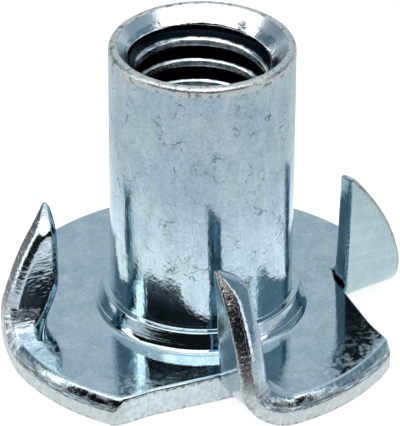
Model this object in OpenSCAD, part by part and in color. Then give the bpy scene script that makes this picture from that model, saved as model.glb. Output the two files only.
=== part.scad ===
// Tee nut with four prongs, pressed from one round blank of sheet steel and tapped.
// The underside of the flange lies on z = 0, and the barrel stands on +Z round the axis.

/* [Flange] */
// Diameter of the round flange
flange_d = 22; // [19:0.1:27]
// Thickness of the sheet, in the flange and in the prongs
sheet = 1.65; // [1.3:0.05:2]
// Rounding along the upper edge of the blank's rim
rim_roll = 0.45; // [0.1:0.05:0.5]
// Rounding, seen from above, where a straight cut meets the rim
corner_round = 0.3; // [0.1:0.05:1]

/* [Barrel] */
// Outside diameter of the barrel
barrel_d = 9.8; // [8.1:0.1:11.8]
// Height of the barrel's mouth above the flange's underside
overall_h = 17.2; // [12:0.1:26]
// Width of the lip round the mouth
lip_w = 0.43; // [0.35:0.01:0.6]
// Rounding on the outside of the lip
lip_round = 0.3; // [0.1:0.05:0.3]
// Rounding between the lip and the flare
mouth_round = 0.2; // [0.05:0.05:0.2]
// Slope of the flared mouth, in degrees from the axis
flare_angle = 39; // [30:1:45]

/* [Bore] */
// Diameter of the bore, the minor diameter of its thread
bore_d = 6.65; // [5:0.05:8]
// Rounding of the bore's edge on the underside
entry_round = 1.2; // [0.4:0.1:1.3]

/* [Collar] */
// How far the collar at the barrel's root stands out from the barrel
collar_step = 0.36; // [0.2:0.02:0.6]
// Height of the collar above the flange
collar_h = 1.05; // [0.8:0.05:1.5]
// Slope of the collar's wall, in degrees from the axis
collar_slope = 12; // [5:1:25]
// Fillet between the collar and the flange
collar_fillet = 0.45; // [0.2:0.05:0.6]
// Rounding of the collar's ledge
collar_round = 0.12; // [0.05:0.01:0.15]

/* [Prongs] */
// Number of prongs
prong_count = 4; // [2:1:4]
// Distance from the barrel's axis to the straight edge of each prong
prong_reach = 7.58; // [6.6:0.02:9]
// Distance from the foot of a prong's outer face to the radial plane beside it
prong_offset = 2.08; // [1.8:0.02:2.4]
// Lean of the prongs outwards from upright, in degrees
prong_lean = 3.5; // [2:0.5:6]
// Height of the tips above the flange's underside
prong_h = 8.8; // [6:0.1:12]
// Radius of each prong's curved edge
prong_edge_r = 11.7; // [8:0.1:16]
// Rounding of the tips
tip_round = 0.45; // [0.2:0.05:0.7]
// Length of the slope that thins each tip on its inner face
tip_slope = 1.2; // [0.6:0.1:2]
// Thickness left at the end of that slope
tip_t = 0.5; // [0.3:0.05:0.9]
// Inside radius of the folds
fold_r = 1.3; // [0.8:0.1:1.8]
// Width of the gap that the cut leaves beside a fold
slit_w = 0.12; // [0.06:0.02:0.3]
// Where the gap ends, measured from the radial plane
slit_end = 0.8; // [0.2:0.1:1.4]

/* [Hidden] */
$fn = 72;
over = 1;
// Small step that keeps surfaces of neighbouring forms from nearly touching.
seam = 0.02;
flange_r = flange_d / 2;
barrel_r = barrel_d / 2;
bore_r = bore_d / 2;
mouth_r = barrel_r - lip_w;
flare_bottom = overall_h - (mouth_r - bore_r) / tan(flare_angle);
collar_top = sheet + collar_h;
collar_top_r = barrel_r + collar_step;
collar_foot_r = collar_top_r + collar_h * tan(collar_slope);

// The fold turns about a line that runs outwards, beside the radial plane and above the sheet.
fold_outer_r = fold_r + sheet;
fold_side = prong_offset - fold_outer_r;
fold_h = sheet + fold_r + seam / 2;
fold_foot = max(abs(fold_side), abs(fold_side - fold_outer_r * sin(prong_lean)));
fold_reach = sqrt(flange_r * flange_r - fold_foot * fold_foot) - seam;

// Outline of a blade, before it leans: x outwards from the axis, y up from the fold line. Its
// curved edge starts at the fold's outer end and would meet the straight edge at the tip.
edge_start = [fold_reach - seam, 0];
edge_tip = [prong_reach, (prong_h - fold_h + fold_r * sin(prong_lean)) / cos(prong_lean)];
edge_mid = (edge_start + edge_tip) / 2;
edge_half = norm(edge_tip - edge_start) / 2;
edge_drop = sqrt(prong_edge_r * prong_edge_r - edge_half * edge_half);
edge_along = (edge_tip - edge_start) / (2 * edge_half);
edge_centre = edge_mid + edge_drop * [-edge_along[1], edge_along[0]];
tip_x = prong_reach + tip_round;
tip_span = prong_edge_r - tip_round;
tip_rise = sqrt(tip_span * tip_span - (tip_x - edge_centre[0]) * (tip_x - edge_centre[0]));
tip_centre = [tip_x, edge_centre[1] + tip_rise];
tip_top = tip_centre[1] + tip_round;
slope_way = [sheet - tip_t, tip_slope];

// The sliver between a corner at p, whose sides run along a and b, and the circle of radius r that
// touches both sides: taken off it rounds an outer corner, and added it fills an inner one.
module corner_sliver(p, a, b, r) {
    half = acos(a * b) / 2;
    c = p + (a + b) / norm(a + b) * r / sin(half);
    difference() {
        polygon([p, p + a * r / tan(half), c, p + b * r / tan(half)]);
        translate(c) circle(r);
    }
}

// Half section of the turned form: flange, collar, barrel, flared mouth and bore.
module turned_section() {
    flare_way = [-sin(flare_angle), -cos(flare_angle)];
    wall_way = [sin(collar_slope), -cos(collar_slope)];
    difference() {
        union() {
            polygon([
                [bore_r, 0], [flange_r, 0], [flange_r, sheet], [collar_foot_r, sheet],
                [collar_top_r, collar_top], [barrel_r, collar_top], [barrel_r, overall_h],
                [mouth_r, overall_h], [bore_r, flare_bottom],
            ]);
            corner_sliver([collar_foot_r, sheet], [1, 0], -wall_way, collar_fillet);
        }
        corner_sliver([flange_r, sheet], [-1, 0], [0, -1], rim_roll);
        corner_sliver([collar_top_r, collar_top], [-1, 0], wall_way, collar_round);
        corner_sliver([barrel_r, overall_h], [-1, 0], [0, -1], lip_round);
        corner_sliver([mouth_r, overall_h], [1, 0], flare_way, mouth_round);
        corner_sliver([bore_r, 0], [1, 0], [0, 1], entry_round);
    }
}

// Plan of what one tab leaves open in the flange: the cut, the gap beside the fold and the
// rounded corner at the rim. The tab lies on the clockwise side of its fold.
module tab_opening() {
    root_x = prong_reach + seam;
    cut_x = prong_reach - slit_w;
    round_x = cut_x - corner_round + seam;
    round_span = flange_r - corner_round + seam;
    round_y = sqrt(round_span * round_span - round_x * round_x);
    far = flange_r + over;
    translate([root_x, fold_side]) square([far - root_x, slit_end - fold_side]);
    translate([cut_x, slit_end]) square([far - cut_x, far]);
    difference() {
        polygon([
            [round_x, round_y], [far, round_y], [far, far], [round_x, round_y] * far / round_span,
        ]);
        translate([round_x, round_y]) circle(corner_round);
    }
}

// The fold of one prong, turned about the fold line from the flange up to the blade.
module fold() {
    rotate([0, 90, 0])
        rotate_extrude(angle = 90)
            difference() {
                polygon([
                    [fold_r, prong_reach], [fold_outer_r, prong_reach],
                    [fold_outer_r, fold_reach], [fold_r, fold_reach],
                ]);
                corner_sliver([fold_r, fold_reach], [1, 0], [0, -1], rim_roll);
            }
}

// What the slope takes off a blade's tip: a wedge on the inner face that reaches past the top.
module tip_wedge() {
    foot = [fold_r, tip_top - tip_slope];
    rotate([90, 0, 90])
        translate([0, 0, prong_reach - over])
            linear_extrude(flange_r)
                polygon([foot - slope_way, foot + 2 * slope_way, foot + [-over, 3 * tip_slope]]);
}

// The flat blade of one prong, cut from a disc that has the blank's rounded edge.
module blade() {
    edge_far = (tip_centre - edge_centre) * (prong_edge_r + over) / tip_span;
    difference() {
        intersection() {
            translate([edge_centre[0], fold_r, edge_centre[1]])
                rotate([-90, 0, 0])
                    rotate_extrude()
                        difference() {
                            square([prong_edge_r, sheet]);
                            corner_sliver([prong_edge_r, 0], [-1, 0], [0, 1], rim_roll);
                        }
            translate([0, fold_r - over, 0])
                rotate([90, 0, 0]) mirror([0, 0, 1])
                    linear_extrude(sheet + 2 * over)
                        difference() {
                            translate([prong_reach, 0]) square([flange_r, prong_h]);
                            difference() {
                                polygon([
                                    [prong_reach - over, tip_centre[1]], tip_centre,
                                    edge_centre + edge_far, [prong_reach - over, prong_h + over],
                                ]);
                                translate(tip_centre) circle(tip_round);
                            }
                        }
        }
        tip_wedge();
    }
}

// One prong: the fold and the blade that stands on it, leaning together about the fold line.
module prong() {
    translate([0, fold_side, fold_h])
        rotate([-prong_lean, 0, 0]) {
            fold();
            blade();
        }
}

module tee_nut() {
    color([0.72, 0.77, 0.8])
        union() {
            difference() {
                rotate_extrude() turned_section();
                for (i = [0 : prong_count - 1])
                    rotate(i * 360 / prong_count) mirror([0, 1, 0])
                        translate([0, 0, -over]) linear_extrude(sheet + 2 * over) tab_opening();
            }
            for (i = [0 : prong_count - 1])
                rotate(i * 360 / prong_count) mirror([0, 1, 0]) prong();
        }
}

tee_nut();
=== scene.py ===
"""A tee nut in bright zinc plate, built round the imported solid.

The nut is one pressed piece, so it is one closed mesh: a barrel with a tapped bore, and a sheet
flange whose four sheared tabs are folded up as prongs. Sizes are in millimetres until the mesh is
made, and the part's own frame is kept: the underside on z = 0 and the barrel along +Z.
"""
import math

import bmesh
import bpy
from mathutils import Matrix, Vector, noise
from mathutils.geometry import tessellate_polygon


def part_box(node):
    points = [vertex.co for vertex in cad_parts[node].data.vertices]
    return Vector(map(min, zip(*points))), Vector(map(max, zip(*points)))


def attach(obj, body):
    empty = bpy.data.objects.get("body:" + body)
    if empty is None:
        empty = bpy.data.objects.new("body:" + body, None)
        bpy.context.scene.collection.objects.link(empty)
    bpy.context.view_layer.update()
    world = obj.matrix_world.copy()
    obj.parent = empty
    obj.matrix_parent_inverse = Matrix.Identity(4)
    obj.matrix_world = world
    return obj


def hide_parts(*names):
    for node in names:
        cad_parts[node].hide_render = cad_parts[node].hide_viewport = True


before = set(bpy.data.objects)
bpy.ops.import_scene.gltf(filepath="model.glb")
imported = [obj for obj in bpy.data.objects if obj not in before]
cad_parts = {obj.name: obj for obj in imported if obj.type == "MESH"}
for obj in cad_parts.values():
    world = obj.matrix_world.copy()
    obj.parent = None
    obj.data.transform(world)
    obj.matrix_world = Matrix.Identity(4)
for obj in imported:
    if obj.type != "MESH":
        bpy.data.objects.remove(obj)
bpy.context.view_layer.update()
LOW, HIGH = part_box("tee_nut")
MM = 0.001

# ------------------------
# Sizes, in millimetres.

HEIGHT = (HIGH.z - LOW.z) / MM
FLANGE_R = 11.0
SHEET = 1.65
BARREL_R = 4.9
COLLAR_TOP_R, COLLAR_FOOT_R, COLLAR_TOP = 5.26, 5.57, 2.7
COLLAR_FILLET, LEDGE_ROUND, ROOT_ROUND = 0.45, 0.1, 0.06
SEAT_R = 6.3              # where the flat of the flange starts, outside the collar's fillet
MOUTH_R = 4.47            # inside of the lip
LIP_ROUND, MOUTH_ROUND = 0.28, 0.14
FLARE = math.tan(math.radians(39))
FLARE_END = 0.5           # the flare's own surface goes this far down, and the thread cuts the rest
ENTRY_R = 1.2             # rounding of the bore's edge on the underside
PITCH, MINOR_R, MAJOR_R = 1.25, 3.325, 4.0
THREAD_START = 0.15       # where round the bore the thread starts, as a share of a turn
CUT_U = 7.46              # distance from the axis to the straight cuts across the flange
CORNER_U = 7.68           # the same at the rim, towards which the cuts bulge
CORNER = 0.3              # rounding where a cut meets the rim
SLIT, SLIT_END = 0.1, 0.03      # width of the gap beside a fold, and at the gap's closed end
AROUND = 192              # vertices round the barrel

# What a prong is made from. The hidden one is plain, but for its shorter coin.
# angle: where it stands, in degrees.
# reach: distance of its straight edge from the axis.
# out, lean: how far to the side its outer face is at the height OUT_Z, and how many degrees it
#     leans outwards.
# tight, wide: the fold's inside radius at the straight edge and at the rim.
# spread: how the radius grows in between.
# ease: 0 for a plain arc, and up to 1 for a bend that starts and ends softly.
# notch, notch_to: how far the straight edge steps back at the fold, and up to which s.
# rollover, roll: how far in and how deep its straight edge and its curved edge are rounded.
# trim: how much less its curved edge stands out than the blank's.
# tip, coin: the tip's rounding, and the length over which the tip is thinned.
# marks: how strongly the fold shows bending lines, as dents and as painted highlights.
# blade: share of the sheet's thickness that is left above the fold.
# held: which face stays in place there, 0 for the outer one and 1 for the inner one.
OUT_Z = 2.8
EDGE_Z = 0.74             # on an upright blade the height is this much more than s
PLAIN_NOTCH = 0.25
PLAIN = dict(
    reach=7.58, out=2.08, lean=3.5, tight=0.3, wide=1.5, spread=1.0, ease=0.0,
    notch=PLAIN_NOTCH, notch_to=1.6, rollover=(0.15, 0.15), roll=(0.42, 0.75), trim=0.0,
    tip=0.25, coin=1.3, marks=0.3, blade=1.0, held=0,
)
# Clockwise, from the one on +X.
PRONGS = [
    dict(PLAIN, angle=0, wide=1.8, spread=0.65, rollover=(0.26, 0.34), tip=0.14, coin=0.5,
         blade=0.92),
    dict(PLAIN, angle=-90, roll=(0.6, 1.0)),
    dict(PLAIN, angle=180, reach=7.85, lean=4.5, tight=0.7, wide=1.4, ease=0.2, notch=1.45,
         notch_to=3.4, rollover=(0.36, 0.34), trim=0.12, tip=0.18, marks=1.0, blade=0.78, held=1),
    dict(PLAIN, angle=90, coin=0.9),
]


def smooth(value, low=0.0, high=1.0):
    """0 below low, 1 above high, and a soft step between."""
    t = min(max((value - low) / (high - low), 0), 1)
    return t * t * (3 - 2 * t)


def rounded(points, steps):
    """A polyline of (x, y, radius) corners, with each corner that has a radius turned to an arc."""
    made = []
    for i, (x, y, r) in enumerate(points):
        if not r:
            made.append((x, y))
            continue
        p = Vector((x, y))
        a = (Vector(points[i - 1][:2]) - p).normalized()
        b = (Vector(points[i + 1][:2]) - p).normalized()
        half = a.angle(b) / 2
        centre = p + (a + b).normalized() * r / math.sin(half)
        start, end = p + a * r / math.tan(half), p + b * r / math.tan(half)
        s = math.degrees(math.atan2(start.y - centre.y, start.x - centre.x))
        e = math.degrees(math.atan2(end.y - centre.y, end.x - centre.x))
        e = s + (e - s + 180) % 360 - 180
        for k in range(steps + 1):
            angle = math.radians(s + (e - s) * k / steps)
            made.append((centre.x + r * math.cos(angle), centre.y + r * math.sin(angle)))
    return made


class Shell:
    """Vertices and faces as they are made, with a finish for each face.

    Each vertex also holds marks that the finishes read. depth is how deep it lies in the sheet or
    in the thread's groove, from 0 to 1; in the groove it sets the painted shade. place is where it
    lies on the blank, outwards and along the bent sheet, and how far down the edge: -1 on the
    flats, 0 at the end of the rounding and 1 at the foot of the wall. bend is how strongly the
    sheet shows its bending, as dents and as painted highlights.
    """

    def __init__(self):
        self.points, self.faces, self.kinds = [], [], []
        self.depths, self.places, self.bends = [], [], []

    def add(self, p, depth=0.0, place=(0.0, 0.0, -1.0), bend=0.0):
        self.points.append(p)
        self.depths.append(depth)
        self.places.append(place)
        self.bends.append(bend)
        return len(self.points) - 1

    def face(self, corners, kind):
        corners = [c for k, c in enumerate(corners) if c != corners[k - 1]]
        if len(corners) > 2:
            self.faces.append(corners)
            self.kinds.append(kind)

    def strip(self, one, two, kind, closed=False):
        """Quads between two rows of as many vertices."""
        for k in range(len(one) - (not closed)):
            n = (k + 1) % len(one)
            self.face([one[k], one[n], two[n], two[k]], kind)

    def fill(self, loops, kind):
        """Triangles over a flat place, between its outer loop and its holes."""
        flat = [i for loop in loops for i in loop]
        for tri in tessellate_polygon([[Vector(self.points[i]) for i in loop] for loop in loops]):
            self.face([flat[t] for t in tri], kind)


# The kinds of faces. Each has a finish of its own.
PLATE, CUT, COLLAR, DRAWN, LIP, THREAD, UNDER, FLARE_FACE = range(8)
shell = Shell()

# ------------------------
# The barrel: from the flange's upper face, over the collar and the lip, to the flare.

LIP_Z = HEIGHT - 0.35     # the lip's worn edge starts here
LIP_IN = 0.1              # and reaches this far inside the mouth
NICK = 0.02               # how uneven the lip is
BROAD_WAVES, FINE_WAVES, FINE_SHARE = 6, 17, 0.8
ARC_STEPS = 8
NEAR = 0.01               # a length that is too small to matter


def ring(r, z):
    """A level ring of vertices. Near the mouth it wavers a little, as a worn lip does."""
    made = []
    uneven = NICK * smooth(z, LIP_Z, HEIGHT) * smooth(r, MOUTH_R - LIP_IN, MOUTH_R)
    for k in range(AROUND):
        a = 2 * math.pi * k / AROUND
        around = Vector((math.cos(a), math.sin(a), 0))
        wave = noise.noise(around * BROAD_WAVES) + FINE_SHARE * noise.noise(around * FINE_WAVES)
        reach = r + uneven * wave
        made.append(shell.add((reach * around.x, reach * around.y, z - uneven * abs(wave))))
    return made


def build_barrel():
    """The turned outside. Returns its ring on the flange and its ring on the flare. A corner of
    radius 0 only places a ring."""
    outside = rounded([
        (SEAT_R, SHEET, 0), (COLLAR_FOOT_R + 0.6, SHEET, 0),
        (COLLAR_FOOT_R, SHEET, COLLAR_FILLET), (COLLAR_TOP_R, COLLAR_TOP, LEDGE_ROUND),
        (BARREL_R, COLLAR_TOP, ROOT_ROUND), (BARREL_R, COLLAR_TOP + 0.3, 0),
        (BARREL_R, HEIGHT - 0.5, 0), (BARREL_R, HEIGHT, LIP_ROUND),
        (MOUTH_R, HEIGHT, MOUTH_ROUND), (MOUTH_R - FLARE_END * FLARE, HEIGHT - FLARE_END, 0),
    ], ARC_STEPS)
    rings = [ring(r, z) for r, z in outside]
    for k in range(len(rings) - 1):
        (r, z), (next_r, next_z) = outside[k], outside[k + 1]
        low, high, inner = min(z, next_z), max(z, next_z), min(r, next_r)
        on_wall = inner > BARREL_R - NEAR and low > COLLAR_TOP + ROOT_ROUND - NEAR
        on_lip = high > HEIGHT - LIP_ROUND - NEAR and inner > MOUTH_R - LIP_IN
        on_collar = high < COLLAR_TOP + ROOT_ROUND + NEAR
        kind = LIP if on_lip else DRAWN if on_wall else COLLAR if on_collar else FLARE_FACE
        shell.strip(rings[k], rings[k + 1], kind, closed=True)
    return rings[0], rings[-1]


# ------------------------
# The tapped bore. Its columns keep to the helix, and end on the flare and on the entry's edge.

MOUTH_Z = HEIGHT - FLARE_END
BASE_Z = 0.02                   # the bore's wall ends here, and the rounded edge goes on below
CREST, ROOT = 0.125, 0.4375     # half widths of crest and of flank's end, as shares of the pitch
SOFT_FLANK = 0.4                # share of the flank's depth that follows a soft curve
FIRST_TURN = (2.2, 1.0)         # between these depths below the mouth the groove loses depth
SHALLOW = 0.22                  # and this share of the depth is gone in the first turn
END_GAP = 0.02                  # the columns stop this short of the rings at both ends
OFF_THREAD = 0.05               # this far outside the thread, a wall counts as smooth
# Where a column has its vertices: shares of the pitch, from the middle of a crest.
PHASES = [0, 0.1, 0.15, 0.21, 0.29, 0.36, 0.42, 0.46, 0.5]
PHASES += [1 - p for p in PHASES[-2:0:-1]]
ROWS = len(PHASES)


def thread_radius(z, phase):
    """The wall's radius at a place in the pitch, 0 and 1 at the middle of a crest. The first
    turn below the flare is cut less deep."""
    from_crest = abs(phase - round(phase))
    flank = min(max((from_crest - CREST) / (ROOT - CREST), 0), 1)
    near_mouth = smooth(z, HEIGHT - FIRST_TURN[0], HEIGHT - FIRST_TURN[1])
    depth = (MAJOR_R - MINOR_R) * (1 - SHALLOW * near_mouth)
    return MINOR_R + depth * ((1 - SOFT_FLANK) * flank + SOFT_FLANK * smooth(flank))


def bore_radius(z, phase):
    """The wall's radius with the flare above it and the rounded edge below it."""
    flare = MOUTH_R - (HEIGHT - z) * FLARE
    entry = MINOR_R + ENTRY_R - math.sqrt(max(ENTRY_R ** 2 - max(ENTRY_R - z, 0) ** 2, 0))
    return max(thread_radius(z, phase), flare, entry)


def thread_column(k):
    """One upright row of the bore's vertices, from the underside up: {row number: vertex}."""
    turn = k / AROUND
    angle = 2 * math.pi * turn
    made = {}
    for n in range(int((BASE_Z / PITCH - 2) * ROWS), int((MOUTH_Z / PITCH + 2) * ROWS)):
        phase = n // ROWS + PHASES[n % ROWS]
        z = PITCH * (phase + turn + THREAD_START - 1)
        if BASE_Z + END_GAP < z < MOUTH_Z - END_GAP:
            r = bore_radius(z, phase)
            thread_r = thread_radius(z, phase)
            depth = (thread_r - MINOR_R) / (MAJOR_R - MINOR_R)
            on_thread = 1 - smooth(r - thread_r, 0.0, OFF_THREAD)
            made[n] = shell.add((r * math.cos(angle), r * math.sin(angle), z), depth * on_thread)
    return made


def build_bore(mouth_ring):
    """The thread, from the flare's ring down. Returns the ring on its lower end. Once round, the
    helix has risen by one pitch, so the last column meets the first one a turn further on."""
    columns = [thread_column(k) for k in range(AROUND)]
    foot_ring = ring(bore_radius(BASE_Z, 0.5), BASE_Z)
    for k in range(AROUND):
        here, there = columns[k], columns[(k + 1) % AROUND]
        if k == AROUND - 1:
            there = {n - ROWS: v for n, v in there.items()}
        both = [n for n in here if n in there]
        low, high = min(both), max(both)
        for n in range(low, high):
            shell.face([here[n], there[n], there[n + 1], here[n + 1]], THREAD)
        ends = (
            (foot_ring, range(min(here), low + 1), range(min(there), low + 1), 1),
            (mouth_ring, range(high, max(here) + 1), range(high, max(there) + 1), -1),
        )
        for end_ring, rows, next_rows, way in ends:
            mine = [here[n] for n in rows][::way]
            other = [there[n] for n in next_rows][::-way]
            corners = [end_ring[k]] + mine + other + [end_ring[(k + 1) % AROUND]]
            shell.face(corners, THREAD)
    return foot_ring


# ------------------------
# The flange and its prongs. A place on the sheet is (u, s, h): u outwards through the prong,
# s clockwise across it, and h up from the sheet's lower face. From the fold on, s runs up the
# prong.

BEND_STEPS = 64
RIM_FOLD_U = FLANGE_R - 0.1     # where a fold has its widest radius
THIN_FROM, THIN_TO = 0.5, 3.5   # between these s a blade thins to its own thickness
TRIM_TO = 5.0                   # from 0 to this s its curved edge draws in
COINED, COIN_POWER = 0.8, 1.7   # how much thinner a tip ends, and how hollow its slope is


def bend_table(prong):
    """Where the sheet's lower face goes along a bend of length 1, as (across, up) points."""
    across = up = 0.0
    made = [(across, up)]
    for k in range(BEND_STEPS):
        angle = bend_angle(prong, (k + 0.5) / BEND_STEPS)
        across += math.cos(angle) / BEND_STEPS
        up += math.sin(angle) / BEND_STEPS
        made.append((across, up))
    return made


def bend_angle(prong, t):
    """How far the sheet has turned at a share t of the bend."""
    return prong["turn"] * ((1 - prong["ease"]) * t + prong["ease"] * smooth(t))


for each in PRONGS:
    each["turn"] = math.radians(90 - each["lean"])
    each["bend"] = bend_table(each)


def place(prong, u, v, z):
    """The point at u outwards through the prong, v clockwise across it, and z up."""
    a = math.radians(prong["angle"])
    return (u * math.cos(a) + v * math.sin(a), u * math.sin(a) - v * math.cos(a), z)


def fold_at(prong, u):
    """The fold at a distance u: its length, and the s at which it starts and ends."""
    share = min(max((u - prong["reach"]) / (RIM_FOLD_U - prong["reach"]), 0), 1)
    share **= prong["spread"]
    radius = prong["tight"] + (prong["wide"] - prong["tight"]) * share + SHEET
    length = radius * prong["turn"] * (1 + prong["ease"] / 2)
    across, up = prong["bend"][-1]
    lean = math.tan(math.radians(prong["lean"]))
    start = prong["out"] - length * across - (OUT_Z - length * up) * lean
    return length, start, length * up - EDGE_Z


def thinned(prong, s):
    """Share of the sheet's thickness that is left at s: the tip is coined to a chisel."""
    top_r = FLANGE_R - prong["trim"] - prong["tip"]
    top = math.sqrt(top_r ** 2 - (prong["reach"] + prong["tip"]) ** 2)
    near = min(max((s - top - prong["tip"] + prong["coin"]) / prong["coin"], 0), 1)
    return 1 - COINED * near ** COIN_POWER


def on_tab(prong, u, s, h):
    """The point at (u, s, h), and how far along the bend it is, from 0 to 1."""
    length, start, end = fold_at(prong, u)
    if s <= start:
        return place(prong, u, s, h), 0.0
    t = min((s - start) / (end - start), 1)
    step = min(int(t * BEND_STEPS), BEND_STEPS - 1)
    (x1, z1), (x2, z2) = prong["bend"][step:step + 2]
    part = t * BEND_STEPS - step
    angle = bend_angle(prong, t)
    past = max(s - end, 0)
    held = prong["held"] * SHEET
    h = held + (h - held) * (1 - (1 - prong["blade"]) * smooth(s, THIN_FROM, THIN_TO))
    h *= thinned(prong, s)
    v = start + length * (x1 + (x2 - x1) * part) + past * math.cos(prong["turn"])
    z = length * (z1 + (z2 - z1) * part) + past
    return place(prong, u, v - h * math.sin(angle), z + h * math.cos(angle)), t


# The sheet's edges. The blank's own rim is well rolled over, and a sheared edge only a little.
# A roll is how far in and how deep an edge is rounded.

ROLL_IN, ROLL_DOWN, ROLL_POWER = 0.42, 0.75, 1.5
FLANK_ROLL = (0.14, 0.12)
BLANK = dict(roll=(ROLL_IN, ROLL_DOWN), trim=0.0)
LOW_R = 0.15                    # rounding of the lower edges
MARGIN = 0.06                   # from the end of a rounding to the flat face's first vertex
WALL_END = 0.9                  # the mark for the foot of a wall, where the lower edge starts
ROW_POWER, FLANK_POWER = 1.7, 1.3       # how vertices crowd towards an edge and a slit
ROW_STEPS, WALL_STEPS, LOW_STEPS = 10, 5, 3
FOLD_ROWS, BLADE_ROWS, TIP_ROWS, ACROSS = 24, 22, 8, 12
LOBE_ROWS, CUT_ROWS, SLIT_ROWS, CORNER_ROWS = 24, 26, 4, 4
BULGE_FROM, BULGE_TO = 5.5, 7.6         # between these s a cut bends out to CORNER_U
NOTCH_FROM, GAP_LENGTH = -1.0, 1.4      # where a notch starts, and over how far the gap widens
ROLL_FROM, ROLL_TO = -0.6, 1.2          # between these s the rim's rounding turns to the tab's
WEAR_FROM, WEAR_TO, WEAR_FADE = -0.6, 0.8, 1.0      # a deep notch's rounding is wider in between
WEAR_WIDE = 0.25                        # by this share of what the notch has over a plain one
MOST_IN = 0.45                  # share of a tab's width that the rounding of one edge may take
FOOT_TRIES = 12
# Between these shares of a fold its marks are full, and at its end they lack the third share.
MARKS_FROM, MARKS_TO, MARKS_FADE = 0.25, 0.9, 0.6


def rolled(inset, wide, down):
    """How far the upper face has dropped at an inset from a rounded edge."""
    near = min(max(1 - inset / wide, 0), 1)
    return down * (1 - (1 - near ** ROLL_POWER) ** (1 / ROLL_POWER))


def rim_roll(prong, s):
    """Width and depth of the rounding on the rim, which changes from the blank's to the tab's."""
    share = smooth(s, ROLL_FROM, ROLL_TO)
    return [one + (two - one) * share for one, two in zip((ROLL_IN, ROLL_DOWN), prong["roll"])]


def rim_radius(prong, s):
    """Distance of the curved edge from the axis, on the blank."""
    return FLANGE_R - prong["trim"] * smooth(s, 0, TRIM_TO)


def rim_u(prong, s):
    """The tab's curved edge."""
    return math.sqrt(rim_radius(prong, s) ** 2 - s * s)


def rim_drop(prong, u, s):
    """How far the upper face has dropped at (u, s) towards the curved edge."""
    return rolled(rim_radius(prong, s) - math.hypot(u, s), *rim_roll(prong, s))


def cut_u(prong, s):
    """The tab's straight edge, which steps outwards near the fold."""
    return prong["reach"] + prong["notch"] * (1 - smooth(s, NOTCH_FROM, prong["notch_to"]))


def rollover(prong, s):
    """Width and depth of the rounding on the tab's straight edge, which is wider at a notch."""
    wide, down = prong["rollover"]
    past_notch = smooth(s, prong["notch_to"] - WEAR_FADE, prong["notch_to"])
    at_notch = smooth(s, WEAR_FROM, WEAR_TO) * (1 - past_notch)
    return wide + WEAR_WIDE * (prong["notch"] - PLAIN_NOTCH) * at_notch, down


def flank_u(prong, s):
    """The flange's side of the cut. Close to the fold it follows the tab with a narrow gap."""
    foot, notch_to = prong["foot"], prong["notch_to"]
    gap = SLIT_END + (SLIT - SLIT_END) * smooth(s, foot, foot + GAP_LENGTH)
    narrow = cut_u(prong, s) - gap
    wide = CUT_U + (CORNER_U - CUT_U) * smooth(s, BULGE_FROM, BULGE_TO)
    return narrow + (wide - narrow) * smooth(s, notch_to - GAP_LENGTH, notch_to)


# Where each fold starts on the rim and on the straight edge, as s. The edge steps outwards
# there, so its own start is found by trying again from the last result.
for each in PRONGS:
    each["rim_foot"] = fold_at(each, rim_u(each, fold_at(each, FLANGE_R)[1]))[1]
    each["foot"] = 0.0
    for _ in range(FOOT_TRIES):
        each["foot"] = fold_at(each, cut_u(each, each["foot"]))[1]


def sheet_vertex(prong, u, s, h, down=-1.0):
    """A vertex of a tab, with its marks."""
    p, t = on_tab(prong, u, s, h)
    fade = 1 - MARKS_FADE * smooth(t, MARKS_TO, 1.0)
    bend = prong["marks"] * smooth(t, 0.0, MARKS_FROM) * fade
    return shell.add(p, 1 - h / SHEET, (u, s, down), bend)


def flat_vertex(prong, u, s, h, down=-1.0):
    """A vertex of the flat flange, with its marks."""
    return shell.add(place(prong, u, s, h), 1 - h / SHEET, (u, s, down))


def edge_row(prong, outer, inner, low_way, drop, vertex=flat_vertex, first=None):
    """One row of vertices round the edge: from the inner place over the rounding to the outer
    one, down the wall, and under it. Places are (u, s), and drop gives the upper face's fall.
    first is the inner place's vertex, where rows share it."""
    row = []
    for k in range(ROW_STEPS + 1):
        f = (1 - k / ROW_STEPS) ** ROW_POWER
        u, s = outer[0] + (inner[0] - outer[0]) * f, outer[1] + (inner[1] - outer[1]) * f
        if k == 0 and first is not None:
            row.append(first)
        elif k and inner == outer:
            row.append(row[0])
        else:
            row.append(vertex(prong, u, s, SHEET - drop(u, s), k / ROW_STEPS - 1))
    top = SHEET - drop(*outer)
    for k in range(1, WALL_STEPS + 1):
        f = k / WALL_STEPS
        row.append(vertex(prong, *outer, top + (LOW_R - top) * f, WALL_END * f))
    for k in range(1, LOW_STEPS + 1):
        a = math.radians(90 * k / LOW_STEPS)
        inset = 1 - math.cos(a)
        u, s = outer[0] + low_way[0] * inset, outer[1] + low_way[1] * inset
        down = WALL_END + (1 - WALL_END) * k / LOW_STEPS
        row.append(vertex(prong, u, s, LOW_R * (1 - math.sin(a)), down))
    return row


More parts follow.
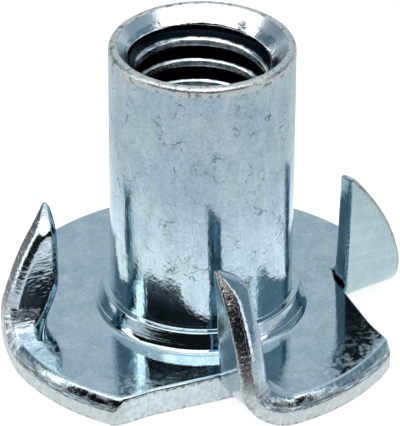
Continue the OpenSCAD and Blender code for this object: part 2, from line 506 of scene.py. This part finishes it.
def tab_lines(prong):
    """Pairs of places on the tab's rim and on its straight edge, from the fold's start to the
    tip's top, where they meet."""
    reach, r = prong["reach"], prong["tip"]
    tip_u = reach + r
    top_r = FLANGE_R - prong["trim"]
    tip_s = math.sqrt((top_r - r) ** 2 - tip_u * tip_u)
    tip_angle = math.atan2(tip_s, tip_u)
    rim_top = top_r * math.sin(tip_angle)
    rim_foot, cut_foot = prong["rim_foot"], prong["foot"]
    rim_end = fold_at(prong, rim_u(prong, rim_foot))[2]
    cut_end = fold_at(prong, cut_u(prong, fold_at(prong, reach)[2]))[2]
    lines = []
    for first, count, rim_s, rim_to, cut_s, cut_to in (
        (0, FOLD_ROWS, rim_foot, rim_end, cut_foot, cut_end),
        (1, BLADE_ROWS, rim_end, rim_top, cut_end, tip_s),
    ):
        for k in range(first, count + 1):
            t = k / count
            s1, s2 = rim_s + (rim_to - rim_s) * t, cut_s + (cut_to - cut_s) * t
            lines.append(((rim_u(prong, s1), s1), (cut_u(prong, s2), s2)))

    def on_tip(a):
        return tip_u + r * math.cos(a), tip_s + r * math.sin(a)

    top_angle = (tip_angle + math.pi) / 2
    for k in range(1, TIP_ROWS):
        lines.append([on_tip(a + (top_angle - a) * k / TIP_ROWS) for a in (tip_angle, math.pi)])
    return lines, on_tip(top_angle)


def tab_rows(prong):
    """The tab's edge rows on the rim side and on the cut side, from the fold up to the tip, and
    the first lines of its upper and lower faces."""

    def drop(u, s):
        return rim_drop(prong, u, s) + rolled(u - cut_u(prong, s), *rollover(prong, s))

    rim_side, cut_side, faces = [], [], ([], [])
    lines, top = tab_lines(prong)
    for one, two in lines:
        across = (two[0] - one[0], two[1] - one[1])
        width = math.hypot(*across)
        most = MOST_IN * width
        near = min(rim_roll(prong, one[1])[0] + MARGIN, most) / width
        far = 1 - min(rollover(prong, two[1])[0] + MARGIN, most) / width
        low = min(LOW_R, most) / width
        pair = []
        for outer, share, sign in ((one, near, 1), (two, far, -1)):
            inner = (one[0] + across[0] * share, one[1] + across[1] * share)
            low_way = (sign * across[0] * low, sign * across[1] * low)
            pair.append(edge_row(prong, outer, inner, low_way, drop, sheet_vertex))
        rim_side.append(pair[0])
        cut_side.append(pair[1])
        for side, start, end in ((0, near, far), (1, low, 1 - low)):
            line = [pair[0][-side]]
            for k in range(1, ACROSS):
                share = start + (end - start) * k / ACROSS
                u, s = one[0] + across[0] * share, one[1] + across[1] * share
                line.append(sheet_vertex(prong, u, s, 0 if side else SHEET - drop(u, s)))
            faces[side].append(line + [pair[1][-side]])
    tip_row = edge_row(prong, top, top, (0, 0), drop, sheet_vertex)
    for side in (0, 1):
        kind = UNDER if side else PLATE
        for line, following in zip(faces[side], faces[side][1:]):
            shell.strip(line, following, kind)
        last = faces[side][-1]
        for k in range(ACROSS):
            shell.face([last[k], last[k + 1], tip_row[-side]], kind)
    return rim_side, tip_row, cut_side, faces[0][0], faces[1][0]


def corner_centre():
    """Centre of the rounding where a cut meets the rim."""
    centre_u = CORNER_U - CORNER
    return centre_u, math.sqrt((FLANGE_R - CORNER) ** 2 - centre_u ** 2)


def lobe_rows(prong):
    """Edge rows on the rim, from the last prong's cut to this prong's fold."""
    centre = corner_centre()
    first = math.atan2(centre[1], centre[0]) - math.pi / 2
    last = math.asin(prong["rim_foot"] / FLANGE_R)

    def drop(u, s):
        return rim_drop(prong, u, s)

    rows = []
    for k in range(LOBE_ROWS):
        a = first + (last - first) * k / LOBE_ROWS
        way = Vector((-math.cos(a), -math.sin(a)))
        outer = -way * FLANGE_R
        inner = outer + way * (rim_roll(prong, math.sin(a) * FLANGE_R)[0] + MARGIN)
        rows.append(edge_row(prong, outer, inner, way * LOW_R, drop))
    return rows


def cut_rows(prong):
    """Edge rows round the end of the slit, along the flange's side of the cut, and round its
    corner. The rows near the corner share their inner vertex."""
    foot = prong["foot"]
    reach = FLANK_ROLL[0] + MARGIN
    half = (cut_u(prong, foot) - flank_u(prong, foot)) / 2
    rows = []
    for k in range(1, SLIT_ROWS):
        a = -math.pi * k / SLIT_ROWS
        way = Vector((math.cos(a), math.sin(a)))
        outer = Vector((flank_u(prong, foot) + half, foot)) + way * half

        def end_drop(u, s, edge=outer):
            return rolled((Vector((u, s)) - edge).length, *FLANK_ROLL)

        rows.append(edge_row(prong, outer, outer + way * reach, way * LOW_R, end_drop))

    def drop(u, s):
        return rim_drop(BLANK, u, s) + rolled(flank_u(prong, s) - u, *FLANK_ROLL)

    centre = Vector(corner_centre())
    turn = math.atan2(centre.y, centre.x)
    shared_u = CORNER_U - reach
    shared = Vector((shared_u, math.sqrt((FLANGE_R - ROLL_IN - MARGIN) ** 2 - shared_u ** 2)))
    places = []
    for k in range(CUT_ROWS + 1):
        s = foot + (centre.y - foot) * (k / CUT_ROWS) ** FLANK_POWER
        slope = (flank_u(prong, s + NEAR) - flank_u(prong, s - NEAR)) / (2 * NEAR)
        places.append((Vector((flank_u(prong, s), s)), Vector((-1, slope)).normalized()))
    for k in range(1, CORNER_ROWS):
        a = turn * k / CORNER_ROWS
        way = Vector((-math.cos(a), -math.sin(a)))
        places.append((centre - way * CORNER, way))
    first = None
    for outer, way in places:
        near_corner = outer.y > shared.y
        inner = shared if near_corner else outer + way * reach
        row = edge_row(prong, outer, inner, way * LOW_R, drop, first=first)
        if near_corner:
            first = row[0]
        rows.append(row)
    return rows


def build_flange():
    """The rim, the tabs and their cuts. Returns the outer loops of the two flat faces."""
    upper, lower, rows = [], [], []
    for prong in PRONGS:
        lobe, cut = lobe_rows(prong), cut_rows(prong)
        rim_side, tip_row, cut_side, upper_line, lower_line = tab_rows(prong)
        upper += [row[0] for row in lobe] + upper_line + [row[0] for row in cut]
        lower += [row[-1] for row in lobe] + lower_line + [row[-1] for row in cut]
        rows += [(row, PLATE) for row in lobe + rim_side + [tip_row]]
        rows += [(row, CUT) for row in cut_side[::-1]]
        rows += [(row, PLATE) for row in cut]
    for (one, kind), (two, next_kind) in zip(rows, rows[1:] + rows[:1]):
        shell.strip(one, two, CUT if CUT in (kind, next_kind) else PLATE)
    upper = [v for k, v in enumerate(upper) if v != upper[k - 1]]
    return upper, lower


seat_ring, mouth_ring = build_barrel()
bore_foot = build_bore(mouth_ring)
upper_loop, lower_loop = build_flange()
shell.fill([upper_loop, seat_ring], PLATE)
under_ring = ring(MINOR_R + ENTRY_R, 0)
shell.strip(bore_foot, under_ring, UNDER, closed=True)
shell.fill([lower_loop, under_ring], UNDER)

# The mesh, with the marks that the finishes read.
mesh = bpy.data.meshes.new("tee_nut_body")
mesh.from_pydata([[c * MM for c in p] for p in shell.points], [], shell.faces)
mesh.polygons.foreach_set("material_index", shell.kinds)
mesh.polygons.foreach_set("use_smooth", [True] * len(mesh.polygons))
for name, kind, field, values in (
    ("edge_depth", "FLOAT", "value", shell.depths),
    ("bend", "FLOAT", "value", shell.bends),
    ("sheet_place", "FLOAT_VECTOR", "vector", [c for spot in shell.places for c in spot]),
):
    mesh.attributes.new(name, kind, "POINT").data.foreach_set(field, values)
mesh.validate()
nut = bpy.data.objects.new("tee_nut_body", mesh)
bpy.context.scene.collection.objects.link(nut)
whole = bmesh.new()
whole.from_mesh(mesh)
bmesh.ops.recalc_face_normals(whole, faces=whole.faces)
whole.to_mesh(mesh)
whole.free()

# ------------------------
# Node trees.


class Graph:
    """Short ways to add nodes to one node tree."""

    def __init__(self, tree):
        self.tree = tree

    def node(self, kind, inputs=None, **settings):
        made = self.tree.nodes.new("ShaderNode" + kind)
        for key, value in settings.items():
            setattr(made, key, value)
        for key, value in (inputs or {}).items():
            self.put(made.inputs[key], value)
        return made

    def put(self, socket, value):
        if isinstance(value, bpy.types.NodeSocket):
            self.tree.links.new(value, socket)
        else:
            socket.default_value = value

    def math(self, operation, one, two=0.0):
        return self.node("Math", {0: one, 1: two}, operation=operation).outputs[0]

    def times(self, one, two):
        return self.math("MULTIPLY", one, two)

    def plus(self, one, two):
        return self.math("ADD", one, two)

    def inverse(self, value):
        return self.math("SUBTRACT", 1, value)

    def step(self, value, low, high):
        """0 below low, 1 above high, and a soft step between."""
        made = self.node("MapRange", {"Value": value, "From Min": low, "From Max": high},
                         interpolation_type="SMOOTHSTEP")
        return made.outputs["Result"]

    def between(self, value, low, high, start=0.0, end=1.0):
        """low at start, high at end, and a straight rise between."""
        made = self.node("MapRange", {"Value": value, "From Min": start, "From Max": end,
                                      "To Min": low, "To Max": high})
        return made.outputs["Result"]

    def mix(self, share, one, two):
        one, two = [(*c, 1) if isinstance(c, tuple) else c for c in (one, two)]
        return self.node("Mix", {0: share, 6: one, 7: two}, data_type="RGBA").outputs[2]

    def noise(self, vector, scale, detail=2.0, distortion=0.0, output="Fac"):
        made = self.node("TexNoise", {"Vector": vector, "Scale": scale, "Detail": detail,
                                      "Distortion": distortion})
        return made.outputs[output]

    def stretched(self, vector, size):
        return self.node("Mapping", {"Vector": vector, "Scale": size}).outputs[0]


def node_group(name, inputs, outputs):
    """A new group: its graph, its input sockets and the sockets that its results go to."""
    tree = bpy.data.node_groups.new(name, "ShaderNodeTree")
    for in_out, sockets in (("INPUT", inputs), ("OUTPUT", outputs)):
        for label, kind in sockets.items():
            tree.interface.new_socket(label, in_out=in_out, socket_type="NodeSocket" + kind)
    start, end = tree.nodes.new("NodeGroupInput"), tree.nodes.new("NodeGroupOutput")
    return Graph(tree), start.outputs, end.inputs


FILM_BLUE, FILM_GREEN = (0.52, 0.65, 0.74), (0.56, 0.69, 0.73)
FILM_VIOLET, FILM_WARM = (0.57, 0.63, 0.75), (0.66, 0.64, 0.65)
VIOLET_SHARE = 0.22


def film_group():
    """The pale film on the zinc: cloudy blue, green, violet and warm grey, with small speckles."""
    graph, given, result = node_group(
        "zinc_film", {"Place": "Vector", "Warmth": "Float"}, {"Colour": "Color"})
    place_at = given["Place"]
    clouds = graph.noise(place_at, 0.4, 3, 0.4)
    patches = graph.noise(graph.stretched(place_at, (1.3, 1.3, 0.6)), 0.8, 4, 0.8)
    specks = graph.noise(place_at, 6, 4)
    violet = graph.noise(graph.stretched(place_at, (1, 1, 0.5)), 0.55)
    colour = graph.mix(graph.step(clouds, 0.4, 0.6), FILM_BLUE, FILM_GREEN)
    violet = graph.times(graph.step(violet, 0.52, 0.7), VIOLET_SHARE)
    colour = graph.mix(violet, colour, FILM_VIOLET)
    warm = graph.times(graph.step(patches, 0.45, 0.7), given["Warmth"])
    colour = graph.mix(warm, colour, FILM_WARM)
    uneven = graph.plus(graph.times(patches, 0.5), graph.times(specks, 0.5))
    light = graph.between(uneven, 0.78, 1.2, 0.32, 0.68)
    scaled = graph.node("VectorMath", {0: colour, "Scale": light}, operation="SCALE")
    graph.put(result["Colour"], scaled.outputs[0])
    return graph.tree


def scuff_group():
    """Short curled hairline scuffs and small dark specks, crowded in some places. The hairlines
    are pieces of the borders between large cells, which a second noise bends."""
    graph, given, result = node_group(
        "hair_scuffs", {"Place": "Vector", "Cover": "Float"}, {"Mask": "Float"})
    place_at = given["Place"]
    wander = graph.noise(place_at, 1.1, 4, output="Color")
    offset = graph.node("VectorMath", {0: wander, "Scale": 2.4}, operation="SCALE")
    curled = graph.node("VectorMath", {0: place_at, 1: offset.outputs[0]}, operation="ADD")
    cells = graph.node("TexVoronoi", {"Vector": curled.outputs[0], "Scale": 0.55},
                       feature="DISTANCE_TO_EDGE")
    hairline = graph.inverse(graph.step(cells.outputs["Distance"], 0.012, 0.032))
    low = graph.math("SUBTRACT", 0.72, given["Cover"])
    pieces = graph.between(graph.noise(place_at, 1.7, 3), 0.0, 1.0, low, graph.plus(low, 0.1))
    specks = graph.step(graph.noise(place_at, 5.5, 2), 0.66, 0.76)
    crowd = graph.step(graph.noise(place_at, 0.6, 2), 0.42, 0.66)
    hairline = graph.times(hairline, graph.between(crowd, 0.22, 1.0))
    hairline = graph.times(hairline, pieces)
    specks = graph.times(specks, graph.times(crowd, 0.6))
    graph.put(result["Mask"], graph.math("MAXIMUM", hairline, specks))
    return graph.tree


def grain_group():
    """Fine unevenness of the plate, as a height and as a cloudy value."""
    graph, given, result = node_group(
        "plate_grain", {"Place": "Vector"}, {"Height": "Float", "Cloud": "Float"})
    fine = graph.noise(given["Place"], 6, 4)
    broad = graph.noise(given["Place"], 1.3, 3)
    graph.put(result["Height"], graph.plus(graph.times(fine, 0.4), broad))
    graph.put(result["Cloud"], graph.noise(given["Place"], 2.4, 4, 0.6))
    return graph.tree


def line_group():
    """Lines left by a die or a bend: noise that is fine one way and drawn out the other."""
    graph, given, result = node_group(
        "drawn_lines", {"Place": "Vector", "Stretch": "Vector"}, {"Height": "Float"})
    drawn = graph.node("VectorMath", {0: given["Place"], 1: given["Stretch"]}, operation="MULTIPLY")
    graph.put(result["Height"], graph.noise(drawn.outputs[0], 1.0, 3))
    return graph.tree


FILM, SCUFFS, GRAIN, LINES = film_group(), scuff_group(), grain_group(), line_group()


class Finish(Graph):
    """A material of the nut: its Principled shader, and the place in millimetres."""

    def __init__(self, name):
        self.material = bpy.data.materials.new(name)
        self.material.use_nodes = True
        super().__init__(self.material.node_tree)
        self.shader = self.tree.nodes["Principled BSDF"]
        self.shader.inputs["Metallic"].default_value = 1
        spot = self.node("TexCoord").outputs["Object"]
        self.place = self.stretched(spot, (1 / MM, 1 / MM, 1 / MM))
        self.x, self.y, self.z = self.node("SeparateXYZ", {0: self.place}).outputs

    def film(self, warmth):
        return self.group(FILM, Place=self.place, Warmth=warmth)["Colour"]

    def grain(self):
        return self.group(GRAIN, Place=self.place)

    def group(self, tree, **inputs):
        made = self.tree.nodes.new("ShaderNodeGroup")
        made.node_tree = tree
        for key, value in inputs.items():
            self.put(made.inputs[key], value)
        return made.outputs

    def mark(self, name, output="Fac"):
        return self.node("Attribute", attribute_name=name).outputs[output]

    def radius(self):
        squares = [self.times(side, side) for side in (self.x, self.y)]
        return self.math("SQRT", self.plus(*squares))

    def vector(self, x, y, z):
        return self.node("CombineXYZ", {0: x, 1: y, 2: z}).outputs[0]

    def bump(self, height, strength, distance, under=None):
        made = self.node("Bump", {"Height": height, "Strength": strength,
                                  "Distance": distance * MM})
        if under:
            self.put(made.inputs["Normal"], under)
        return made.outputs[0]

    def finish(self, colour, roughness, normal):
        for name, value in (("Base Color", colour), ("Roughness", roughness), ("Normal", normal)):
            self.put(self.shader.inputs[name], value)
        return self.material


SCUFF_DARK, SCUFF_DEEP, STAIN = (0.1, 0.13, 0.15), (0.09, 0.13, 0.14), (0.3, 0.36, 0.38)
LINE_GREY = (0.38, 0.46, 0.5)
WORN_GREY, STREAK_AND_REFLECTION_DARK = (0.5, 0.55, 0.57), (0.1, 0.11, 0.11)
WALL_PALE, WALL_GREY, RIM_GREY = (0.65, 0.71, 0.74), (0.5, 0.55, 0.57), (0.48, 0.49, 0.45)
TORN_DARK, TORN_PALE = (0.22, 0.21, 0.21), (0.75, 0.76, 0.76)
FOOT_SHADE_DARK, FOOT_SHADE_GREY = (0.3, 0.32, 0.32), (0.5, 0.53, 0.55)
FOLD_HIGHLIGHT, FLARE_BRIGHT = (0.92, 0.95, 0.96), (0.97, 0.99, 1.0)
UNDER_DARK, UNDER_PALE = (0.34, 0.43, 0.42), (0.38, 0.48, 0.47)
CUT_TEAL = (0.16, 0.3, 0.36)
LIP_GREY, NICK_DARK = (0.73, 0.74, 0.72), (0.14, 0.14, 0.14)
CREST_HIGHLIGHT, GROOVE_SHADE = (0.95, 0.96, 0.97), (0.003, 0.006, 0.009)


def plate_base(f, warmth):
    """What every broad face has: the film with a few scuffs, a slightly uneven polish, and a
    fine unevenness. Returns colour, roughness and normal."""
    film = f.film(warmth)
    scuffs = f.group(SCUFFS, Place=f.place, Cover=0.1)["Mask"]
    grain = f.grain()
    colour = f.mix(f.times(scuffs, 0.45), film, SCUFF_DARK)
    return colour, f.between(grain["Cloud"], 0.03, 0.09), f.bump(grain["Height"], 0.1, 0.05)


def sheet_zinc():
    """The sheet's upper side: nearly a mirror on its broad faces, streaked dark on its rolled edge,
    partly as a painted dark reflection, and matt and finely mottled on the wall below the roll,
    with a painted dark reflection along the wall's top and painted shade along its foot. The walls
    of the upright tabs are torn, and the folds carry painted highlights as bright lines."""
    f = Finish("sheet_zinc")
    colour, rough, normal = plate_base(f, 0.25)
    bent = f.mark("bend")
    depth = f.mark("edge_depth")
    u, s, down = f.node("SeparateXYZ", {0: f.mark("sheet_place", "Vector")}).outputs
    upright = f.step(f.z, 1.9, 3.6)
    lying = f.inverse(upright)
    mottle = f.noise(f.place, 4.5, 5)
    ragged = f.plus(down, f.times(f.math("SUBTRACT", mottle, 0.5), 0.5))
    wall = f.step(ragged, -0.02, 0.04)
    off_wall = f.inverse(wall)

    # Patches of the flange near its rim are rubbed.
    patches = f.step(f.noise(f.place, 2.5, 5, 0.5), 0.43, 0.6)
    worn = f.times(f.step(f.radius(), 7.2, 10.2), f.times(lying, patches))
    colour = f.mix(f.times(worn, 0.25), colour, WORN_GREY)

    # The rolled edge has dark streaked marks along it, few on the upright tabs; they are partly the
    # edge's own marks and partly a painted dark reflection.
    roll = f.times(f.step(depth, 0.01, 0.1), off_wall)
    streaks_and_reflection = f.step(f.noise(f.vector(u, s, f.times(depth, 14)), 1.3, 4), 0.36, 0.56)
    dull = f.times(f.step(down, -0.75, -0.2), f.between(lying, 0.12, 0.9))
    colour = f.mix(f.times(f.times(roll, streaks_and_reflection), dull), colour, STREAK_AND_REFLECTION_DARK)

    # The wall is mottled, or torn on the tabs. A painted dark reflection runs as a line above it,
    # and painted shade as a line at its foot.
    pale = f.mix(f.step(mottle, 0.3, 0.72), WALL_PALE, WALL_GREY)
    pale = f.mix(f.times(f.step(f.radius(), 10.3, 10.8), 0.4), pale, RIM_GREY)
    torn = f.mix(f.step(f.noise(f.place, 5.0, 3), 0.56, 0.68), TORN_DARK, TORN_PALE)
    colour = f.mix(wall, colour, f.mix(upright, pale, torn))
    # Painted reflection: a dark line where the rounding meets the wall.
    painted_reflection_line = f.times(f.step(ragged, -0.06, 0.0), f.inverse(f.step(ragged, 0.03, 0.1)))
    colour = f.mix(f.times(painted_reflection_line, 0.6), colour, STREAK_AND_REFLECTION_DARK)

    # The folds have painted highlights: bright lines across the bend.
    lines = f.group(LINES, Place=f.vector(u, s, 0.0), Stretch=(1.4, 6.0, 1))["Height"]
    fold_highlight = f.times(f.times(f.step(lines, 0.46, 0.58), f.times(bent, 0.85)), off_wall)
    colour = f.mix(fold_highlight, colour, FOLD_HIGHLIGHT)
    # Painted shade: a dark line along the foot of the wall, greyer on the upright tabs.
    colour = f.mix(f.step(ragged, 0.86, 0.98), colour, f.mix(upright, FOOT_SHADE_DARK, FOOT_SHADE_GREY))

    for share, much in ((roll, 0.05), (wall, 0.12), (bent, 0.08), (worn, 0.26)):
        rough = f.plus(rough, f.times(share, much))
    dents = f.plus(f.times(lines, 0.7), f.noise(f.place, 1.5, 3))
    normal = f.bump(f.times(dents, bent), 0.5, 0.12, normal)
    coarse = f.times(f.noise(f.place, 6, 3), f.plus(wall, f.times(roll, 0.2)))
    normal = f.bump(coarse, 0.45, 0.07, normal)
    return f.finish(colour, rough, normal)


def turned_zinc():
    """The collar and the seat round it, with faint turned rings."""
    f = Finish("turned_zinc")
    colour, rough, normal = plate_base(f, 0.25)
    rings = f.vector(f.times(f.radius(), 9), f.times(f.z, 9), 0.0)
    fade = f.inverse(f.step(f.radius(), 5.8, 6.2))
    normal = f.bump(f.times(f.noise(rings, 1, 2), fade), 0.08, 0.05, normal)
    return f.finish(colour, rough, normal)


def under_zinc():
    """The sheet's lower side: smooth, greyer, with faint bands where it is bent."""
    f = Finish("under_zinc")
    colour, rough, normal = plate_base(f, 0.1)
    _, s, _ = f.node("SeparateXYZ", {0: f.mark("sheet_place", "Vector")}).outputs
    bands = f.step(f.noise(f.vector(0.0, f.times(s, 1.6), 0.0), 1, 2), 0.45, 0.65)
    colour = f.mix(0.6, colour, f.mix(bands, UNDER_DARK, UNDER_PALE))
    return f.finish(colour, f.plus(rough, 0.08), normal)


def flared_zinc():
    """The flare of the mouth, brighter and a little rougher than the sheet."""
    f = Finish("flared_zinc")
    colour, rough, normal = plate_base(f, 0.3)
    return f.finish(f.mix(0.9, colour, FLARE_BRIGHT), f.plus(rough, 0.17), normal)


def cut_zinc():
    """The prongs' sheared straight edges: smooth, and darker than the faces."""
    f = Finish("cut_zinc")
    film = f.film(0.0)
    grain = f.grain()
    lines = f.group(LINES, Place=f.mark("sheet_place", "Vector"), Stretch=(1, 3.5, 1))["Height"]
    colour = f.mix(f.between(f.step(lines, 0.3, 0.7), 0.7, 0.95), film, CUT_TEAL)
    normal = f.bump(lines, 0.3, 0.08)
    return f.finish(colour, f.between(grain["Cloud"], 0.1, 0.2), normal)


def drawn_zinc():
    """The barrel's wall: hazy above, brighter towards its foot, with upright drawing lines,
    curled scuffs, specks and small stains, and warmer near the mouth."""
    f = Finish("drawn_zinc")
    warmth = f.between(f.step(f.z, 13.5, 16.5), 0.1, 0.65)
    film = f.film(warmth)
    scuffs = f.group(SCUFFS, Place=f.place, Cover=0.28)["Mask"]
    grain = f.grain()
    lines = f.group(LINES, Place=f.place, Stretch=(5, 5, 0.35))["Height"]
    high = f.step(f.z, 6, 13)
    colour = f.mix(f.times(scuffs, 0.85), film, SCUFF_DEEP)
    stains = f.step(grain["Cloud"], 0.62, 0.76)
    colour = f.mix(f.times(stains, 0.22), colour, STAIN)
    colour = f.mix(f.times(f.step(lines, 0.5, 0.7), 0.08), colour, LINE_GREY)
    rough = f.plus(f.between(grain["Cloud"], 0.04, 0.11), f.times(high, 0.1))
    normal = f.bump(lines, 0.2, 0.03)
    normal = f.bump(grain["Height"], f.between(high, 0.34, 0.2), 0.05, normal)
    return f.finish(colour, rough, normal)


def worn_zinc():
    """The lip, rubbed to a neutral grey, uneven and nicked."""
    f = Finish("worn_zinc")
    film = f.film(1.0)
    grain = f.grain()
    rubbed = f.between(f.step(grain["Cloud"], 0.35, 0.6), 0.5, 1.0)
    colour = f.mix(rubbed, film, LIP_GREY)
    nicks = f.step(f.noise(f.place, 3.2, 3), 0.54, 0.63)
    colour = f.mix(f.times(nicks, 0.7), colour, NICK_DARK)
    normal = f.bump(grain["Height"], 0.6, 0.08)
    normal = f.bump(nicks, -0.6, 0.06, normal)
    return f.finish(colour, f.between(grain["Cloud"], 0.2, 0.45), normal)


def tapped_zinc():
    """The thread: crests with painted highlights, and grooves painted nearly black as shade."""
    f = Finish("tapped_zinc")
    film = f.film(0.2)
    grain = f.grain()
    deep = f.plus(f.mark("edge_depth"), f.times(f.noise(f.place, 3, 3), 0.25))
    # Painted highlights: the thread is patched with near white, for its bright crests.
    crest = f.mix(f.step(f.noise(f.place, 1.6, 3), 0.42, 0.56), film, CREST_HIGHLIGHT)
    # Painted shade: the deep grooves are coloured nearly black.
    colour = f.mix(f.step(deep, 0.2, 0.42), crest, GROOVE_SHADE)
    normal = f.bump(grain["Height"], 0.5, 0.06)
    return f.finish(colour, f.between(grain["Cloud"], 0.08, 0.2), normal)


# The materials, in the order of the kinds of faces from PLATE to FLARE_FACE.
for finish in (sheet_zinc(), cut_zinc(), turned_zinc(), drawn_zinc(), worn_zinc(), tapped_zinc(),
               under_zinc(), flared_zinc()):
    mesh.materials.append(finish)
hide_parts("tee_nut")
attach(nut, "root")

# ------------------------
# Floor, light and camera. The camera looks at a point on the axis from azimuth CAMERA_AZ.

CAMERA_AZ, CAMERA_EL, CAMERA_ROLL = (math.radians(a) for a in (-22, 30.97, 0.27))
CAMERA_D = 0.1984
CAMERA_TARGET = Vector((0, 0, 0.00793))
CAMERA_LENS = 315.6
CAMERA_SHIFT = (-0.00383, -0.038)
SENSOR = 36

FLOOR_BASE, SEEN_BASE = (0.5, 0.5, 0.5), (0.35, 0.35, 0.35)
SEEN_GLOW = (0.84, 0.84, 0.84)
GLOW_NEAR, GLOW_FAR = (0.68, 0.72, 0.74), (0.22, 0.24, 0.26)
GLOW_START, GLOW_END = 10 * MM, 26 * MM

# The room is pale, brighter overhead. Each light or dark flag in it: its colour, where it starts
# and ends to the sides, from low to high, and how soft its borders are. All are in degrees as
# seen from the nut, with 0 towards the camera and more to its right.
ROOM_LOW, ROOM_HIGH = (0.5, 0.58, 0.63), (0.9, 0.95, 1.0)
ROOM_RISE = (20, 80)
FLAGS = [
    ((0.2, 0.29, 0.35), (64, 130), (-20, 45), 6),
    ((0.15, 0.22, 0.27), (-142, -96), (5, 45), 10),
    ((0.006, 0.008, 0.01), (-76, 64), (-20, 40), 3),
    ((2.3, 2.3, 2.3), (-92, -77), (-20, 60), 2),
    ((1.7, 1.7, 1.7), (64, 74), (-20, 60), 2),
    ((2.0, 2.0, 2.0), (-72, 70), (41, 82), 3),
]


def build_floor():
    """A pale floor, 2 m across, which glows so that it stays as pale as the room round it."""
    sheet = bpy.data.meshes.new("floor")
    corners = [(-1, -1, 0), (1, -1, 0), (1, 1, 0), (-1, 1, 0)]
    sheet.from_pydata(corners, [], [(0, 1, 2, 3)])
    floor = bpy.data.objects.new("floor", sheet)
    bpy.context.scene.collection.objects.link(floor)
    floor.location.z = -0.01 * MM
    pale = bpy.data.materials.new("pale_floor")
    pale.use_nodes = True
    graph = Graph(pale.node_tree)
    paint = pale.node_tree.nodes["Principled BSDF"]
    for name, value in (("Roughness", 1), ("Specular IOR Level", 0), ("Emission Strength", 1)):
        paint.inputs[name].default_value = value
    spot = graph.node("TexCoord").outputs["Object"]
    away = graph.node("VectorMath", {0: spot}, operation="LENGTH").outputs["Value"]
    glow = graph.mix(graph.step(away, GLOW_START, GLOW_END), GLOW_NEAR, GLOW_FAR)
    seen = graph.node("LightPath").outputs["Is Camera Ray"]
    graph.put(paint.inputs["Base Color"], graph.mix(seen, FLOOR_BASE, SEEN_BASE))
    graph.put(paint.inputs["Emission Color"], graph.mix(seen, glow, SEEN_GLOW))
    sheet.materials.append(pale)


def build_surroundings():
    """Studio light from a world shader: a pale room with its lights and flags."""
    world = bpy.data.worlds.new("studio")
    bpy.context.scene.world = world
    world.use_nodes = True
    graph = Graph(world.node_tree)
    seen = graph.node("TexCoord").outputs["Generated"]
    turned = graph.node("VectorRotate", {"Vector": seen, "Angle": math.radians(90) - CAMERA_AZ},
                        rotation_type="Z_AXIS")
    parts = graph.node("SeparateXYZ", {0: turned.outputs[0]}).outputs
    side = graph.math("DEGREES", graph.math("ARCTAN2", parts[1], parts[0]))
    rise = graph.math("DEGREES", graph.math("ARCSINE", parts[2]))
    light = graph.mix(graph.step(rise, *ROOM_RISE), ROOM_LOW, ROOM_HIGH)
    for colour, across, up, soft in FLAGS:
        inside = 1.0
        for angle, (start, end) in ((side, across), (rise, up)):
            past_start = graph.step(angle, start - soft, start + soft)
            before_end = graph.inverse(graph.step(angle, end - soft, end + soft))
            inside = graph.times(inside, graph.times(past_start, before_end))
        light = graph.mix(inside, light, colour)
    camera_ray = graph.node("LightPath").outputs["Is Camera Ray"]
    light = graph.mix(camera_ray, light, (1.0, 1.0, 1.0))
    graph.put(world.node_tree.nodes["Background"].inputs["Color"], light)


def build_camera():
    away = Vector((math.sin(CAMERA_AZ) * math.cos(CAMERA_EL),
                   -math.cos(CAMERA_AZ) * math.cos(CAMERA_EL), math.sin(CAMERA_EL)))
    lens = bpy.data.cameras.new("camera")
    lens.sensor_fit = "VERTICAL"
    lens.sensor_height = SENSOR
    lens.lens = CAMERA_LENS
    lens.shift_x, lens.shift_y = CAMERA_SHIFT
    lens.clip_start = MM
    camera = bpy.data.objects.new("camera", lens)
    bpy.context.scene.collection.objects.link(camera)
    camera.location = CAMERA_TARGET + away * CAMERA_D
    camera.rotation_euler = (-away).to_track_quat("-Z", "Y").to_euler()
    camera.rotation_euler.rotate_axis("Z", CAMERA_ROLL)
    bpy.context.scene.camera = camera


build_floor()
build_surroundings()
build_camera()
bpy.context.scene.view_settings.view_transform = "Standard"
